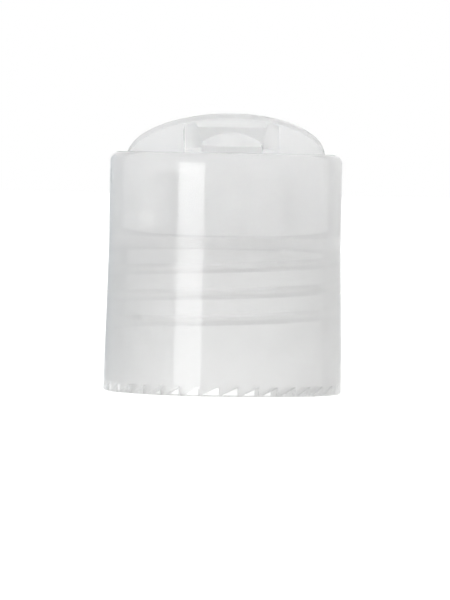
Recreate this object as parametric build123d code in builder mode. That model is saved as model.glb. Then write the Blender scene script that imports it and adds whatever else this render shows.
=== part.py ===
"""Disc top cap for a 24-410 bottle neck, in two natural polypropylene mouldings.

Millimetres, +Z up, the origin at the middle of the skirt's end face. The front, where the nozzle
pours, is -Y. The disc is built tilted open, as the cap rests in the photograph. It turns about the
X axis through its trunnion pins, and it closes when its front goes down.
"""

import os
from math import atan2, cos, pi, radians, sin

from build123d import *

# Skirt and shoulder
body_height = 29.6
body_radius = 14.4
foot_flare = 0.43
foot_radius = body_radius + foot_flare
shoulder_fillet = 1.2
foot_rounding = 0.25

# Well for the disc, and the deck between it and the neck below
well_depth = 10.4
well_wall = 1.6
well_edge = 0.25
well_foot_fillet = 1.2
deck_thickness = 1.2
flare_drop = 0.5
well_radius = body_radius - well_wall
deck_top = body_height - well_depth
deck_bottom = deck_top - deck_thickness
flare_top = deck_bottom - flare_drop

# Bore for the bottle neck: a plain guide land, then a drafted wall that carries the thread
neck_wall = 2.05
neck_draft = 0.15
neck_top_fillet = 0.8
land_drop = 10.8
neck_radius = body_radius - neck_wall
neck_top_radius = neck_radius - neck_draft
land_top = deck_bottom - land_drop

# Neck thread, 24-410: 8 turns to the inch, right-handed
thread_pitch = 25.4 / 8
thread_turns = 2.67
thread_start_angle = 150.0
thread_front_drop = 8.67
thread_depth = 0.9
thread_crest_width = 0.36
thread_base_width = 1.4
thread_bite = 0.15
thread_run_out = 24.0
thread_end_bite = 0.7

# Saw teeth in the end face, which the mould's stripper ring leaves
tooth_count = 36
tooth_height = 1.15
tooth_relief = 0.12
tooth_land_share = 0.06
tooth_overrun = 0.2
foot_lip = 0.53
tooth_outer_radius = foot_radius - foot_lip

# Plug seal ring under the deck, which enters the bottle's bore
plug_radius = 8.4
plug_thickness = 0.8
plug_length = 2.2
plug_lead = 0.35

# Disc plate, flush with the rim when it is closed
disc_gap = 0.5
disc_thickness = 0.83
disc_top_edge = 0.3
disc_lower_edge = 0.12
dish_depth = 0.25
dish_sphere_radius = 45.0
dish_back = 6.6
disc_radius = well_radius - disc_gap

# Pivot and the disc's travel
pivot_drop = 3.0
open_angle = 25.0
pin_radius = 0.9
pin_clearance = 0.06
pin_end_gap = 0.2
pin_lead = 0.25
socket_skin = 0.75
pivot_height = body_height - pivot_drop
disc_top = pivot_drop
disc_underside = disc_top - disc_thickness
socket_radius = pin_radius + pin_clearance
socket_end = body_radius - socket_skin
pin_end = socket_end - pin_end_gap

# Ears under the plate that carry the pins
ear_setback = 0.2
ear_thickness = 1.2
ear_half_width = 1.9
ear_outer = disc_radius - ear_setback
ear_inner = ear_outer - ear_thickness

# Ball on the disc and its seat on the deck
ball_radius = 4.6
ball_wall = 0.9
ball_mouth_radius = 2.3
seat_clearance = 0.08
collar_wall = 0.6
collar_lip = 1.0
collar_drop = 2.0
flow_hole_radius = 2.6
seat_radius = ball_radius + seat_clearance
collar_radius = ball_radius + collar_wall
collar_bore_radius = ball_radius - collar_lip

# Nozzle: heights are above the pivot, square to the plate
mouth_half_width = 3.7
mouth_floor = -0.53
mouth_side_height = 0.45
mouth_peak = 1.37
nozzle_floor = -1.28
tube_wall = 0.85
plate_overhang = 2.2
flange_thickness = 1.3
cheek_wall = 1.25
cheek_lip = 0.05
cheek_setback = 0.3
tube_half_width = mouth_half_width + tube_wall
cheek_half_width = tube_half_width + cheek_wall
cheek_inner_low = mouth_half_width + cheek_lip
nozzle_reach = disc_radius - plate_overhang
flange_back = nozzle_reach - flange_thickness
cheek_reach = disc_radius - cheek_setback

# Sealing wall that stops the mouth when the disc is closed
seal_clearance = 0.15
seal_side_gap = 0.25
seal_thickness = 1.4
seal_foot_width = 0.35
seal_cover = 0.53
seal_radius = nozzle_reach + seal_clearance
seal_foot = seal_radius - seal_foot_width
seal_half_width = cheek_inner_low - seal_side_gap
seal_top = pivot_height + mouth_peak + seal_cover

# Guide walls beside the nozzle
guide_gap = 0.4
guide_thickness = 1.05
guide_rise = 0.6
guide_front_gap = 2.7
guide_back = 2.4
guide_inner = cheek_half_width + guide_gap
guide_top = pivot_height + guide_rise
guide_front = well_radius - guide_front_gap

# Open stops at the back of the well
stop_spacing = 4.2
stop_thickness = 1.0
stop_length = 3.2
stop_root = 0.4
stop_gap = 0.05
stop_front = well_radius - stop_length
stop_end = well_radius + stop_root

# Lead-in grooves above the pin sockets
groove_half_width = 0.95
groove_depth = 0.35
groove_length = 1.7
groove_fade = 0.05
groove_bottom = body_height - groove_length

# How far a cutting tool runs past the face that it starts from
cut_overrun = 0.3

tilt = radians(open_angle)
pivot = (0, 0, pivot_height)
disc_plane = Plane(origin=pivot, x_dir=(1, 0, 0), z_dir=(0, sin(tilt), cos(tilt)))
pouring_plane = Plane(origin=pivot, x_dir=(1, 0, 0), z_dir=(0, -cos(tilt), sin(tilt)))
side_plane = Plane(origin=pivot, x_dir=(0, -cos(tilt), sin(tilt)), z_dir=(-1, 0, 0))
disc_axis = Axis(pivot, (0, sin(tilt), cos(tilt)))
thread_height = thread_turns * thread_pitch
thread_front_height = deck_bottom - thread_front_drop
thread_start_height = (
    thread_front_height - thread_pitch * (270.0 - thread_start_angle) / 360.0
)


def underside_height(y):
    """Height of the open disc's underside above the middle of the deck, at depth y."""
    along = (y - disc_underside * sin(tilt)) / cos(tilt)
    return pivot_height - along * sin(tilt) + disc_underside * cos(tilt)


def ridge_plane(angle):
    """Plane across the thread's helix at an angle from its start, with x pointing outward."""
    turn = radians(angle)
    rise = atan2(thread_pitch, 2 * pi * neck_radius)
    return Plane(
        origin=(
            neck_radius * cos(turn),
            neck_radius * sin(turn),
            thread_pitch * angle / 360.0,
        ),
        x_dir=(cos(turn), sin(turn), 0),
        z_dir=(-sin(turn) * cos(rise), cos(turn) * cos(rise), sin(rise)),
    )


# Thread ridge: a trapezium swept along the helix, which sinks into the wall at both ends
with BuildPart() as thread_ridge:
    with BuildLine():
        ridge_path = Helix(thread_pitch, thread_height, neck_radius)
    with BuildSketch(ridge_plane(0)):
        with BuildLine():
            Polyline(
                (thread_bite, -thread_base_width / 2),
                (0, -thread_base_width / 2),
                (-thread_depth, -thread_crest_width / 2),
                (-thread_depth, thread_crest_width / 2),
                (0, thread_base_width / 2),
                (thread_bite, thread_base_width / 2),
                close=True,
            )
        make_face()
    sweep(path=ridge_path, is_frenet=True)
    for full_angle, buried_angle in (
        (0, -thread_run_out),
        (360 * thread_turns, 360 * thread_turns + thread_run_out),
    ):
        with BuildSketch(ridge_plane(full_angle)):
            with BuildLine():
                Polyline(
                    (thread_end_bite, -thread_base_width / 2),
                    (0, -thread_base_width / 2),
                    (-thread_depth, -thread_crest_width / 2),
                    (-thread_depth, thread_crest_width / 2),
                    (0, thread_base_width / 2),
                    (thread_end_bite, thread_base_width / 2),
                    close=True,
                )
            make_face()
        with BuildSketch(ridge_plane(buried_angle)):
            with BuildLine():
                Polyline(
                    (thread_end_bite, -thread_base_width / 4),
                    (thread_bite, -thread_base_width / 4),
                    (thread_bite / 2, -thread_crest_width / 4),
                    (thread_bite / 2, thread_crest_width / 4),
                    (thread_bite, thread_base_width / 4),
                    (thread_end_bite, thread_base_width / 4),
                    close=True,
                )
            make_face()
        loft()

# Saw tooth pocket: a ramp that rises with the angle and then drops straight down
with BuildPart() as tooth_pocket:
    for ring_radius in (neck_radius - tooth_overrun, tooth_outer_radius):
        pitch_length = 2 * pi * ring_radius / tooth_count
        half_pocket = pitch_length * (0.5 - tooth_land_share)
        tooth_plane = Plane(origin=(ring_radius, 0, 0), x_dir=(0, 1, 0), z_dir=(1, 0, 0))
        with BuildSketch(tooth_plane):
            with BuildLine():
                Polyline(
                    (-half_pocket, -tooth_overrun),
                    (half_pocket, -tooth_overrun),
                    (half_pocket, tooth_height),
                    (-half_pocket, tooth_relief),
                    close=True,
                )
            make_face()
    loft(ruled=True)

with BuildPart() as cap_body:
    # Skirt: straight at the top, flared by the mould's draft below, with a soft shoulder
    with BuildSketch(Plane.XZ):
        with BuildLine():
            Polyline(
                (0, 0),
                (foot_radius, 0),
                (body_radius, flare_top),
                (body_radius, body_height),
                (0, body_height),
                close=True,
            )
        make_face()
    revolve(axis=Axis.Z)
    rims = cap_body.edges().filter_by(GeomType.CIRCLE).sort_by(Axis.Z)
    fillet(rims[-1], radius=shoulder_fillet)
    rims = cap_body.edges().filter_by(GeomType.CIRCLE).sort_by(Axis.Z)
    fillet(rims[0], radius=foot_rounding)

    # Well for the disc
    with BuildSketch(Plane.XY.offset(deck_top)):
        Circle(well_radius)
    extrude(amount=body_height - deck_top, mode=Mode.SUBTRACT)
    well_edges = (
        cap_body.edges()
        .filter_by(GeomType.CIRCLE)
        .filter_by(lambda edge: abs(edge.radius - well_radius) < 0.001)
        .sort_by(Axis.Z)
    )
    fillet(well_edges[0], radius=well_foot_fillet)
    well_edges = (
        cap_body.edges()
        .filter_by(GeomType.CIRCLE)
        .filter_by(lambda edge: abs(edge.radius - well_radius) < 0.001)
        .sort_by(Axis.Z)
    )
    fillet(well_edges[-1], radius=well_edge)

    # Bore for the bottle neck, rounded where it meets the deck
    with BuildSketch(Plane.XZ):
        with BuildLine():
            Polyline(
                (0, 0),
                (neck_radius, 0),
                (neck_radius, land_top),
                (neck_top_radius, deck_bottom),
                (0, deck_bottom),
                close=True,
            )
        bore_face = make_face()
        deck_corners = bore_face.vertices().group_by(Axis.Y)[-1]
        fillet(deck_corners.sort_by(Axis.X)[-1], radius=neck_top_fillet)
    revolve(axis=Axis.Z, mode=Mode.SUBTRACT)
    with Locations(Location((0, 0, thread_start_height), (0, 0, thread_start_angle))):
        add(thread_ridge.part)

    # Saw teeth in the end face, inside a plain outer lip that the cap stands on
    with BuildSketch(Plane.XY):
        Circle(tooth_outer_radius)
    extrude(amount=tooth_relief, mode=Mode.SUBTRACT)
    with PolarLocations(0, tooth_count):
        add(tooth_pocket.part, mode=Mode.SUBTRACT)

    # Plug seal ring under the deck
    with BuildSketch(Plane.XZ):
        with BuildLine():
            Polyline(
                (plug_radius - plug_thickness, deck_bottom + deck_thickness / 2),
                (plug_radius - plug_thickness, deck_bottom - plug_length),
                (plug_radius - plug_lead, deck_bottom - plug_length),
                (plug_radius, deck_bottom - plug_length + 2 * plug_lead),
                (plug_radius, deck_bottom + deck_thickness / 2),
                close=True,
            )
        make_face()
    revolve(axis=Axis.Z)

    # Ball seat collar around the flow hole
    with BuildSketch(Plane.XY.offset(deck_bottom + deck_thickness / 2)):
        Circle(collar_radius)
    extrude(amount=pivot_height - collar_drop - deck_bottom - deck_thickness / 2)
    with BuildSketch(Plane.XY.offset(deck_top)):
        Circle(collar_bore_radius)
    extrude(amount=pivot_height - deck_top, mode=Mode.SUBTRACT)
    with BuildSketch(Plane.XY.offset(deck_bottom)):
        Circle(flow_hole_radius)
    extrude(amount=deck_thickness, mode=Mode.SUBTRACT)
    with Locations(pivot):
        Sphere(seat_radius, mode=Mode.SUBTRACT)

    # Sealing wall, hollowed about the pivot so that the nozzle's face slides down over it
    with BuildSketch(Plane.YZ):
        with BuildLine():
            Polyline(
                (-seal_radius - seal_thickness, deck_top - deck_thickness / 2),
                (-seal_foot, deck_top - deck_thickness / 2),
                (-seal_foot, seal_top),
                (-seal_radius - seal_thickness, seal_top),
                close=True,
            )
        make_face()
        with Locations((0, pivot_height)):
            Circle(seal_radius, mode=Mode.SUBTRACT)
    extrude(amount=seal_half_width, both=True)

    # Guide walls beside the nozzle
    with BuildSketch(Plane.XY.offset(deck_top - deck_thickness / 2)):
        for side in (-1, 1):
            with Locations(
                (side * (guide_inner + guide_thickness / 2), -(guide_front + guide_back) / 2)
            ):
                Rectangle(guide_thickness, guide_front - guide_back)
    extrude(amount=guide_top - deck_top + deck_thickness / 2)

    # Open stops: two fins at the back whose tops lie along the open disc
    for side in (-1, 1):
        fin_plane = Plane.YZ.offset(side * stop_spacing / 2)
        with BuildSketch(fin_plane):
            with BuildLine():
                Polyline(
                    (stop_front, deck_top - deck_thickness / 2),
                    (stop_end, deck_top - deck_thickness / 2),
                    (stop_end, underside_height(stop_end) - stop_gap),
                    (stop_front, underside_height(stop_front) - stop_gap),
                    close=True,
                )
            make_face()
        extrude(amount=stop_thickness / 2, both=True)

    # Pin sockets, and the grooves that let the pins snap down into them
    for side in (-1, 1):
        socket_plane = Plane(
            origin=(side * (well_radius - cut_overrun), 0, pivot_height),
            x_dir=(0, 1, 0),
            z_dir=(side, 0, 0),
        )
        with BuildSketch(socket_plane):
            Circle(socket_radius)
        extrude(amount=socket_end - well_radius + cut_overrun, mode=Mode.SUBTRACT)
        with BuildSketch(Plane.XZ):
            with BuildLine():
                Polyline(
                    (side * (well_radius - cut_overrun), body_height + cut_overrun),
                    (side * (well_radius + groove_depth), body_height + cut_overrun),
                    (side * (well_radius + groove_depth), body_height - well_edge),
                    (side * (well_radius - groove_fade), groove_bottom),
                    (side * (well_radius - cut_overrun), groove_bottom),
                    close=True,
                )
            make_face()
        extrude(amount=groove_half_width, both=True, mode=Mode.SUBTRACT)

with BuildPart() as disc:
    # Ball, nozzle tube, its mouth flange and the two cheeks in front of it
    with Locations(pivot):
        Sphere(ball_radius)
    nozzle_height = disc_underside + disc_thickness / 2 - nozzle_floor
    nozzle_middle = nozzle_floor + nozzle_height / 2
    with BuildSketch(side_plane):
        Circle(nozzle_reach)
        with Locations((nozzle_reach / 2, nozzle_middle)):
            Rectangle(nozzle_reach, nozzle_height, mode=Mode.INTERSECT)
    extrude(amount=tube_half_width, both=True)
    with BuildSketch(side_plane):
        Circle(nozzle_reach)
        with Locations(((nozzle_reach + flange_back) / 2, nozzle_middle)):
            Rectangle(nozzle_reach - flange_back, nozzle_height, mode=Mode.INTERSECT)
    extrude(amount=cheek_half_width, both=True)
    with BuildSketch(pouring_plane.offset(flange_back)):
        with BuildLine():
            Polyline(
                (tube_half_width, disc_underside + disc_thickness / 2),
                (cheek_half_width, disc_underside + disc_thickness / 2),
                (cheek_half_width, nozzle_floor),
                (cheek_inner_low, nozzle_floor),
                (cheek_inner_low, mouth_floor),
                close=True,
            )
        make_face()
        mirror(about=Plane.YZ)
    extrude(amount=cheek_reach - flange_back)
    with BuildSketch(disc_plane.offset(-ball_radius - cut_overrun)):
        Circle(cheek_reach)
    blank_height = ball_radius + cut_overrun + disc_underside + disc_thickness / 2
    extrude(amount=blank_height, mode=Mode.INTERSECT)

    # Plate, softer at its top edge
    with BuildSketch(disc_plane.offset(disc_underside)):
        Circle(disc_radius)
    extrude(amount=disc_thickness)
    plate_edges = (
        disc.edges()
        .filter_by(GeomType.CIRCLE)
        .filter_by(lambda edge: abs(edge.radius - disc_radius) < 0.001)
        .sort_by(disc_axis)
    )
    fillet(plate_edges[-1], radius=disc_top_edge)
    plate_edges = (
        disc.edges()
        .filter_by(GeomType.CIRCLE)
        .filter_by(lambda edge: abs(edge.radius - disc_radius) < 0.001)
        .sort_by(disc_axis)
    )
    fillet(plate_edges[0], radius=disc_lower_edge)

    # Shallow dish at the back of the plate, where the thumb presses
    with Locations(disc_plane):
        with Locations((0, dish_back, disc_top + dish_sphere_radius - dish_depth)):
            Sphere(dish_sphere_radius, mode=Mode.SUBTRACT)

    # Ears under the plate with the trunnion pins
    for side in (-1, 1):
        ear_plane = Plane(
            origin=(side * ear_inner, 0, pivot_height),
            x_dir=(0, side * cos(tilt), -side * sin(tilt)),
            z_dir=(side, 0, 0),
        )
        with BuildSketch(ear_plane):
            Circle(ear_half_width)
            ear_height = disc_underside + disc_thickness / 2
            with Locations((0, ear_height / 2)):
                Rectangle(2 * ear_half_width, ear_height)
        extrude(amount=ear_outer - ear_inner)
        with BuildSketch(ear_plane):
            Circle(pin_radius)
        extrude(amount=pin_end - ear_inner)
    pin_edges = (
        disc.edges()
        .filter_by(GeomType.CIRCLE)
        .filter_by(lambda edge: abs(edge.radius - pin_radius) < 0.001)
        .sort_by(Axis.X)
    )
    chamfer([pin_edges[0], pin_edges[-1]], length=pin_lead)

    # Hollow of the ball, its mouth below and the channel out through the nozzle's face
    hollow_radius = ball_radius - ball_wall
    hollow_height = hollow_radius + mouth_peak
    with BuildSketch(side_plane):
        Circle(hollow_radius)
        with Locations((hollow_radius / 2, mouth_peak - hollow_height / 2)):
            Rectangle(hollow_radius, hollow_height, mode=Mode.INTERSECT)
    revolve(axis=disc_axis, mode=Mode.SUBTRACT)
    with BuildSketch(disc_plane.offset(-ball_radius - cut_overrun)):
        Circle(ball_mouth_radius)
    extrude(amount=ball_radius, mode=Mode.SUBTRACT)
    with BuildSketch(pouring_plane):
        with BuildLine():
            Polyline(
                (-mouth_half_width, mouth_floor + mouth_side_height),
                (-mouth_half_width, mouth_floor),
                (mouth_half_width, mouth_floor),
                (mouth_half_width, mouth_floor + mouth_side_height),
            )
            ThreePointArc(
                (mouth_half_width, mouth_floor + mouth_side_height),
                (0, mouth_peak),
                (-mouth_half_width, mouth_floor + mouth_side_height),
            )
        make_face()
    extrude(amount=nozzle_reach + cut_overrun, mode=Mode.SUBTRACT)

os.makedirs("parts", exist_ok=True)
cap_body.part.label = "cap_body"
disc.part.label = "disc"
export_step(cap_body.part, "parts/cap_body.step")
export_step(disc.part, "parts/disc.step")
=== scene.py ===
import math

import bpy
from mathutils import Matrix, Vector

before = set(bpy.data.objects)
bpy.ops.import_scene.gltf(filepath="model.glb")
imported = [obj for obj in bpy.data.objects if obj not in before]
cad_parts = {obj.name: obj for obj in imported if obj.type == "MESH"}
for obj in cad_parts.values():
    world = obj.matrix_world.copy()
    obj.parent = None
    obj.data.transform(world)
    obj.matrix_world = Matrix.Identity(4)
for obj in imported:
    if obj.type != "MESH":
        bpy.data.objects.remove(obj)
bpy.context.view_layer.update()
scene = bpy.context.scene
scene.view_settings.view_transform = "Standard"

# Light crosses many walls of a milky part before it reaches the eye, so its paths stay long
longest_path = 96
scene.cycles.max_bounces = longest_path
scene.cycles.diffuse_bounces = longest_path
scene.cycles.glossy_bounces = longest_path
scene.cycles.transmission_bounces = longest_path
scene.cycles.volume_bounces = longest_path

# Cap body: one moulding in natural polypropylene, which has no pigment and is milky by its
# own haze. The cavity of its mould is polished, so the skirt is glossy. The core is spark
# eroded, so the bore, the thread and the well are matt and show through as soft dark lines.
body_white = "#FFFFFF"
body_ior = 1.32
haze_density = 850.0
haze_forward = 0.9
clear_least = 0.86
clear_most = 0.92
flow_patch = 0.005
skirt_rough_least = 0.08
skirt_rough_most = 0.12
core_reach = 0.0137
thread_rough_least = 0.40
thread_rough_most = 0.50
well_rough_least = 0.75
well_rough_most = 0.85
well_foot = 0.0178
grit_size = 0.00025
grit_depth = 0.000008


def linear(code):
    """An sRGB hex code as linear red, green, blue and full alpha."""
    parts = [int(code[i : i + 2], 16) / 255 for i in (1, 3, 5)]
    return tuple(
        p / 12.92 if p <= 0.04045 else ((p + 0.055) / 1.055) ** 2.4 for p in parts
    ) + (1.0,)


def add_node(tree, kind, settings=(), inputs=(), links=()):
    """Adds a node, sets its properties and sockets, and links other sockets into it."""
    node = tree.nodes.new(kind)
    for name, value in dict(settings).items():
        setattr(node, name, value)
    for name, value in dict(inputs).items():
        node.inputs[name].default_value = value
    for name, source in dict(links).items():
        tree.links.new(source, node.inputs[name])
    return node


def new_material(name):
    """An empty node material and its tree."""
    material = bpy.data.materials.new(name)
    material.use_nodes = True
    material.node_tree.nodes.clear()
    return material, material.node_tree


def patches(tree, place, size, low, high):
    """A value that drifts between low and high in patches of about this size in metres."""
    octaves = 1.0
    noise_least, noise_most = 0.3, 0.7
    noise = add_node(
        tree,
        "ShaderNodeTexNoise",
        inputs={"Scale": 1 / size, "Detail": octaves},
        links={"Vector": place.outputs["Object"]},
    )
    spread = add_node(
        tree,
        "ShaderNodeMapRange",
        inputs={
            "From Min": noise_least,
            "From Max": noise_most,
            "To Min": low,
            "To Max": high,
        },
        links={"Value": noise.outputs[0]},
    )
    return noise.outputs[0], spread.outputs[0]


def dress(node_name, material):
    """Gives a node of the cap this one material in place of its own."""
    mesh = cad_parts[node_name].data
    mesh.materials.clear()
    mesh.materials.append(material)


# The melt cools unevenly, so how clear the skirt is drifts in patches of about 5 mm
body_skin, tree = new_material("natural_polypropylene_polished_outside_eroded_inside")
place = add_node(tree, "ShaderNodeTexCoord")
clearness = patches(tree, place, flow_patch, clear_least, clear_most)[1]
skirt_rough = patches(tree, place, flow_patch, skirt_rough_least, skirt_rough_most)[1]

# Erosion leaves a grain of about 0.1 mm, drawn at 0.25 mm so that it shows
grit, thread_rough = patches(tree, place, grit_size, thread_rough_least, thread_rough_most)
well_rough = patches(tree, place, grit_size, well_rough_least, well_rough_most)[1]

# From the deck up, above well_foot, the core is eroded more coarsely than at the thread
height = add_node(tree, "ShaderNodeSeparateXYZ", links={0: place.outputs["Object"]})
in_well = add_node(
    tree,
    "ShaderNodeMath",
    {"operation": "GREATER_THAN"},
    {1: well_foot},
    {0: height.outputs["Z"]},
)
core_rough = add_node(
    tree,
    "ShaderNodeMix",
    links={0: in_well.outputs[0], 2: thread_rough, 3: well_rough},
)

# What the core shaped lies within core_reach of the axis, and the skirt's face beyond it
off_axis = add_node(
    tree,
    "ShaderNodeVectorMath",
    {"operation": "MULTIPLY"},
    {1: (1, 1, 0)},
    {0: place.outputs["Object"]},
)
reach = add_node(
    tree, "ShaderNodeVectorMath", {"operation": "LENGTH"}, links={0: off_axis.outputs[0]}
)
on_core = add_node(
    tree,
    "ShaderNodeMath",
    {"operation": "LESS_THAN"},
    {1: core_reach},
    {0: reach.outputs["Value"]},
)
roughness = add_node(
    tree,
    "ShaderNodeMix",
    links={0: on_core.outputs[0], 2: skirt_rough, 3: core_rough.outputs[0]},
)
grain = add_node(
    tree,
    "ShaderNodeBump",
    inputs={"Distance": grit_depth},
    links={"Height": grit, "Strength": on_core.outputs[0]},
)
shader = add_node(
    tree,
    "ShaderNodeBsdfPrincipled",
    {"distribution": "MULTI_GGX"},
    {"Base Color": linear(body_white), "IOR": body_ior},
    {
        "Roughness": roughness.outputs[0],
        "Transmission Weight": clearness,
        "Normal": grain.outputs[0],
    },
)

# Crystals in the resin turn the light aside, mostly forwards, about every 1.2 mm
haze = add_node(
    tree,
    "ShaderNodeVolumeScatter",
    inputs={"Color": linear(body_white), "Density": haze_density, "Anisotropy": haze_forward},
)
add_node(
    tree,
    "ShaderNodeOutputMaterial",
    links={"Surface": shader.outputs[0], "Volume": haze.outputs[0]},
)
dress("cap_body", body_skin)

# Disc: a second moulding in the same resin, with the nozzle, the ball and the pins in one.
# Both halves of its mould are spark eroded to a satin, so the thin plate glows evenly and
# its own walls show only as soft lines.
disc_white = "#FFFFFF"
disc_ior = 1.46
disc_clear = 1.0
satin_least = 0.74
satin_most = 0.86
satin_grain = 0.0003
satin_depth = 0.000008

# Erosion leaves a grain of about 0.1 mm here too, drawn at 0.3 mm so that it shows
disc_skin, tree = new_material("natural_polypropylene_satin")
place = add_node(tree, "ShaderNodeTexCoord")
grit, satin = patches(tree, place, satin_grain, satin_least, satin_most)
grain = add_node(
    tree,
    "ShaderNodeBump",
    inputs={"Distance": satin_depth},
    links={"Height": grit},
)
shader = add_node(
    tree,
    "ShaderNodeBsdfPrincipled",
    {"distribution": "MULTI_GGX"},
    {"Base Color": linear(disc_white), "IOR": disc_ior, "Transmission Weight": disc_clear},
    {"Roughness": satin, "Normal": grain.outputs[0]},
)
add_node(tree, "ShaderNodeOutputMaterial", links={"Surface": shader.outputs[0]})
dress("disc", disc_skin)

# Room: an even white studio around the cap. The background that shows past the cap, in
# its gloss and through its walls is plain white.
room_level = 1.1
backdrop_level = 1.0


def seen_directly(tree):
    """One for camera, glossy and transmission rays, which show the background, else zero."""
    path = add_node(tree, "ShaderNodeLightPath")
    camera_or_gloss = add_node(
        tree,
        "ShaderNodeMath",
        {"operation": "MAXIMUM"},
        links={0: path.outputs["Is Camera Ray"], 1: path.outputs["Is Glossy Ray"]},
    )
    return add_node(
        tree,
        "ShaderNodeMath",
        {"operation": "MAXIMUM"},
        links={0: camera_or_gloss.outputs[0], 1: path.outputs["Is Transmission Ray"]},
    ).outputs[0]


room = bpy.data.worlds.new("white_studio")
room.use_nodes = True
room.node_tree.nodes.clear()
scene.world = room
tree = room.node_tree
walls = add_node(
    tree, "ShaderNodeBackground", inputs={"Color": (1, 1, 1, 1), "Strength": room_level}
)
backdrop = add_node(
    tree, "ShaderNodeBackground", inputs={"Color": (1, 1, 1, 1), "Strength": backdrop_level}
)
shown = add_node(
    tree,
    "ShaderNodeMixShader",
    links={0: seen_directly(tree), 1: walls.outputs[0], 2: backdrop.outputs[0]},
)
add_node(tree, "ShaderNodeOutputWorld", links={"Surface": shown.outputs[0]})

# Floor: one sheet of glossy white acrylic, which the cap stands on. Its far edge runs out
# to the background, and its gloss carries the soft box's stripe down to the cap's foot.
floor_reach = 3.0
floor_colour = "#F6F6F4"
glow_near = 0.5
glow_far = 0.12
glow_seen = 0.35
glow_near_reach = 0.016
glow_far_reach = 0.06
floor_rough = 0.1
floor_mesh = bpy.data.meshes.new("floor")
floor_mesh.from_pydata(
    [(x * floor_reach, y * floor_reach, 0) for x, y in ((-1, -1), (1, -1), (1, 1), (-1, 1))],
    [],
    [(0, 1, 2, 3)],
)
floor = bpy.data.objects.new("floor", floor_mesh)
scene.collection.objects.link(floor)
floor_skin, tree = new_material("white_acrylic_sheet_painted_glow")

# Painted light: the sheet itself glows, though no lamp lies below it. The painted glow is
# brightest under the cap, where it paints out the cap's shadow, and falls from its near
# level within 16 mm of the axis to its far level at 60 mm.
place = add_node(tree, "ShaderNodeTexCoord")
reach = add_node(
    tree, "ShaderNodeVectorMath", {"operation": "LENGTH"}, links={0: place.outputs["Object"]}
)
painted_glow_pool = add_node(
    tree,
    "ShaderNodeMapRange",
    inputs={
        "From Min": glow_near_reach,
        "From Max": glow_far_reach,
        "To Min": glow_near,
        "To Max": glow_far,
    },
    links={"Value": reach.outputs["Value"]},
)
# Only camera, glossy and transmission rays see the painted glow, so it shines up through the
# cap's walls and into its gloss as painted light, but lights no matt surface
to_cap_rays = add_node(
    tree,
    "ShaderNodeMath",
    {"operation": "MULTIPLY"},
    links={0: seen_directly(tree), 1: painted_glow_pool.outputs["Result"]},
)

# The camera sees at least glow_seen, which keeps the sheet white under the cap's faint
# mirror image
path = add_node(tree, "ShaderNodeLightPath")
to_camera_rays = add_node(
    tree,
    "ShaderNodeMath",
    {"operation": "MULTIPLY"},
    {1: glow_seen},
    {0: path.outputs["Is Camera Ray"]},
)
glow = add_node(
    tree,
    "ShaderNodeMath",
    {"operation": "MAXIMUM"},
    links={0: to_cap_rays.outputs[0], 1: to_camera_rays.outputs[0]},
)
shader = add_node(
    tree,
    "ShaderNodeBsdfPrincipled",
    {"distribution": "MULTI_GGX"},
    {
        "Base Color": linear(floor_colour),
        "Roughness": floor_rough,
        "Emission Color": (1, 1, 1, 1),
    },
    {"Emission Strength": glow.outputs[0]},
)
add_node(tree, "ShaderNodeOutputMaterial", links={"Surface": shader.outputs[0]})
floor_mesh.materials.append(floor_skin)

# Soft box: a low, wide lamp ahead and to the left. It draws the one upright stripe of gloss
# on the skirt.
box_azimuth = math.radians(-37.8)
box_distance = 0.5
box_width = 0.235
box_height = 0.06
box_middle = 0.032
box_radiance = 9.5
lamp = bpy.data.lights.new("soft_box", "AREA")
lamp.shape = "RECTANGLE"
lamp.size = box_width
lamp.size_y = box_height
lamp.energy = box_radiance * math.pi * box_width * box_height
soft_box = bpy.data.objects.new("soft_box", lamp)
scene.collection.objects.link(soft_box)
soft_box.location = (
    box_distance * math.sin(box_azimuth),
    -box_distance * math.cos(box_azimuth),
    box_middle,
)
to_cap = Vector((0, 0, box_middle)) - soft_box.location
soft_box.rotation_euler = to_cap.to_track_quat("-Z", "Y").to_euler()

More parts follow.
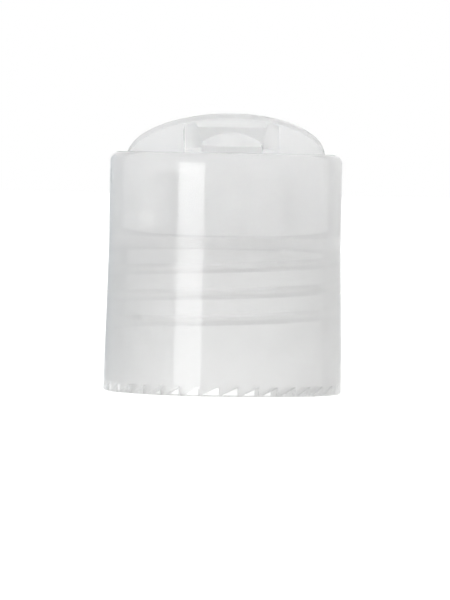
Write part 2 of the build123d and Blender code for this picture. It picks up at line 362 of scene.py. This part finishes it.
# Flags: two upright grey cards, set obliquely behind the cap and just out of the picture.
# They give its left edge and, less, its right edge a dark line, where the wall mirrors them.
flag_height = 0.06
left_flag_colour = "#C0C8CE"
left_flag_inner = (-0.036, 0.13)
left_flag_outer = (-0.15, 0.0)
right_flag_colour = "#F0F0F0"
right_flag_inner = (0.036, 0.13)
right_flag_outer = (0.12, 0.03)


def flag(name, code, inner, outer):
    """An upright card from the inner to the outer point of the floor, hidden itself."""
    mesh = bpy.data.meshes.new(name)
    mesh.from_pydata(
        [(*inner, 0), (*outer, 0), (*outer, flag_height), (*inner, flag_height)],
        [],
        [(0, 1, 2, 3)],
    )
    card = bpy.data.objects.new(name, mesh)
    scene.collection.objects.link(card)
    card.visible_camera = False
    paint, tree = new_material(name + "_matt_card")
    shader = add_node(tree, "ShaderNodeBsdfDiffuse", inputs={"Color": linear(code)})
    add_node(tree, "ShaderNodeOutputMaterial", links={"Surface": shader.outputs[0]})
    mesh.materials.append(paint)


flag("left_flag", left_flag_colour, left_flag_inner, left_flag_outer)
flag("right_flag", right_flag_colour, right_flag_inner, right_flag_outer)

# Camera: eye level with the cap's shoulder, from a little left of the front, with a long
# lens. The cap leans a degree to the right in the picture, so the camera rolls by that.
eye_azimuth = math.radians(-3.9)
eye_distance = 0.645
eye_height = 0.0296
eye_down = math.radians(1.62)
eye_roll = math.radians(1.03)
eye_aside = 0.00015
lens_mm = 312
sensor_mm = 36
nearest_seen = 0.01
farthest_seen = 10
eye = Vector(
    (eye_distance * math.sin(eye_azimuth), -eye_distance * math.cos(eye_azimuth), eye_height)
)
ahead = Vector(
    (
        -math.sin(eye_azimuth) * math.cos(eye_down),
        math.cos(eye_azimuth) * math.cos(eye_down),
        -math.sin(eye_down),
    )
)
across = ahead.cross(Vector((0, 0, 1))).normalized()
upward = across.cross(ahead)
turned_across = across * math.cos(eye_roll) + upward * math.sin(eye_roll)
turned_up = upward * math.cos(eye_roll) - across * math.sin(eye_roll)
lens = bpy.data.cameras.new("camera")
lens.lens = lens_mm
lens.sensor_width = sensor_mm
lens.clip_start = nearest_seen
lens.clip_end = farthest_seen
camera = bpy.data.objects.new("camera", lens)
scene.collection.objects.link(camera)
camera.matrix_world = Matrix.Translation(eye + turned_across * eye_aside) @ Matrix(
    (turned_across, turned_up, -ahead)
).transposed().to_4x4()
scene.camera = camera
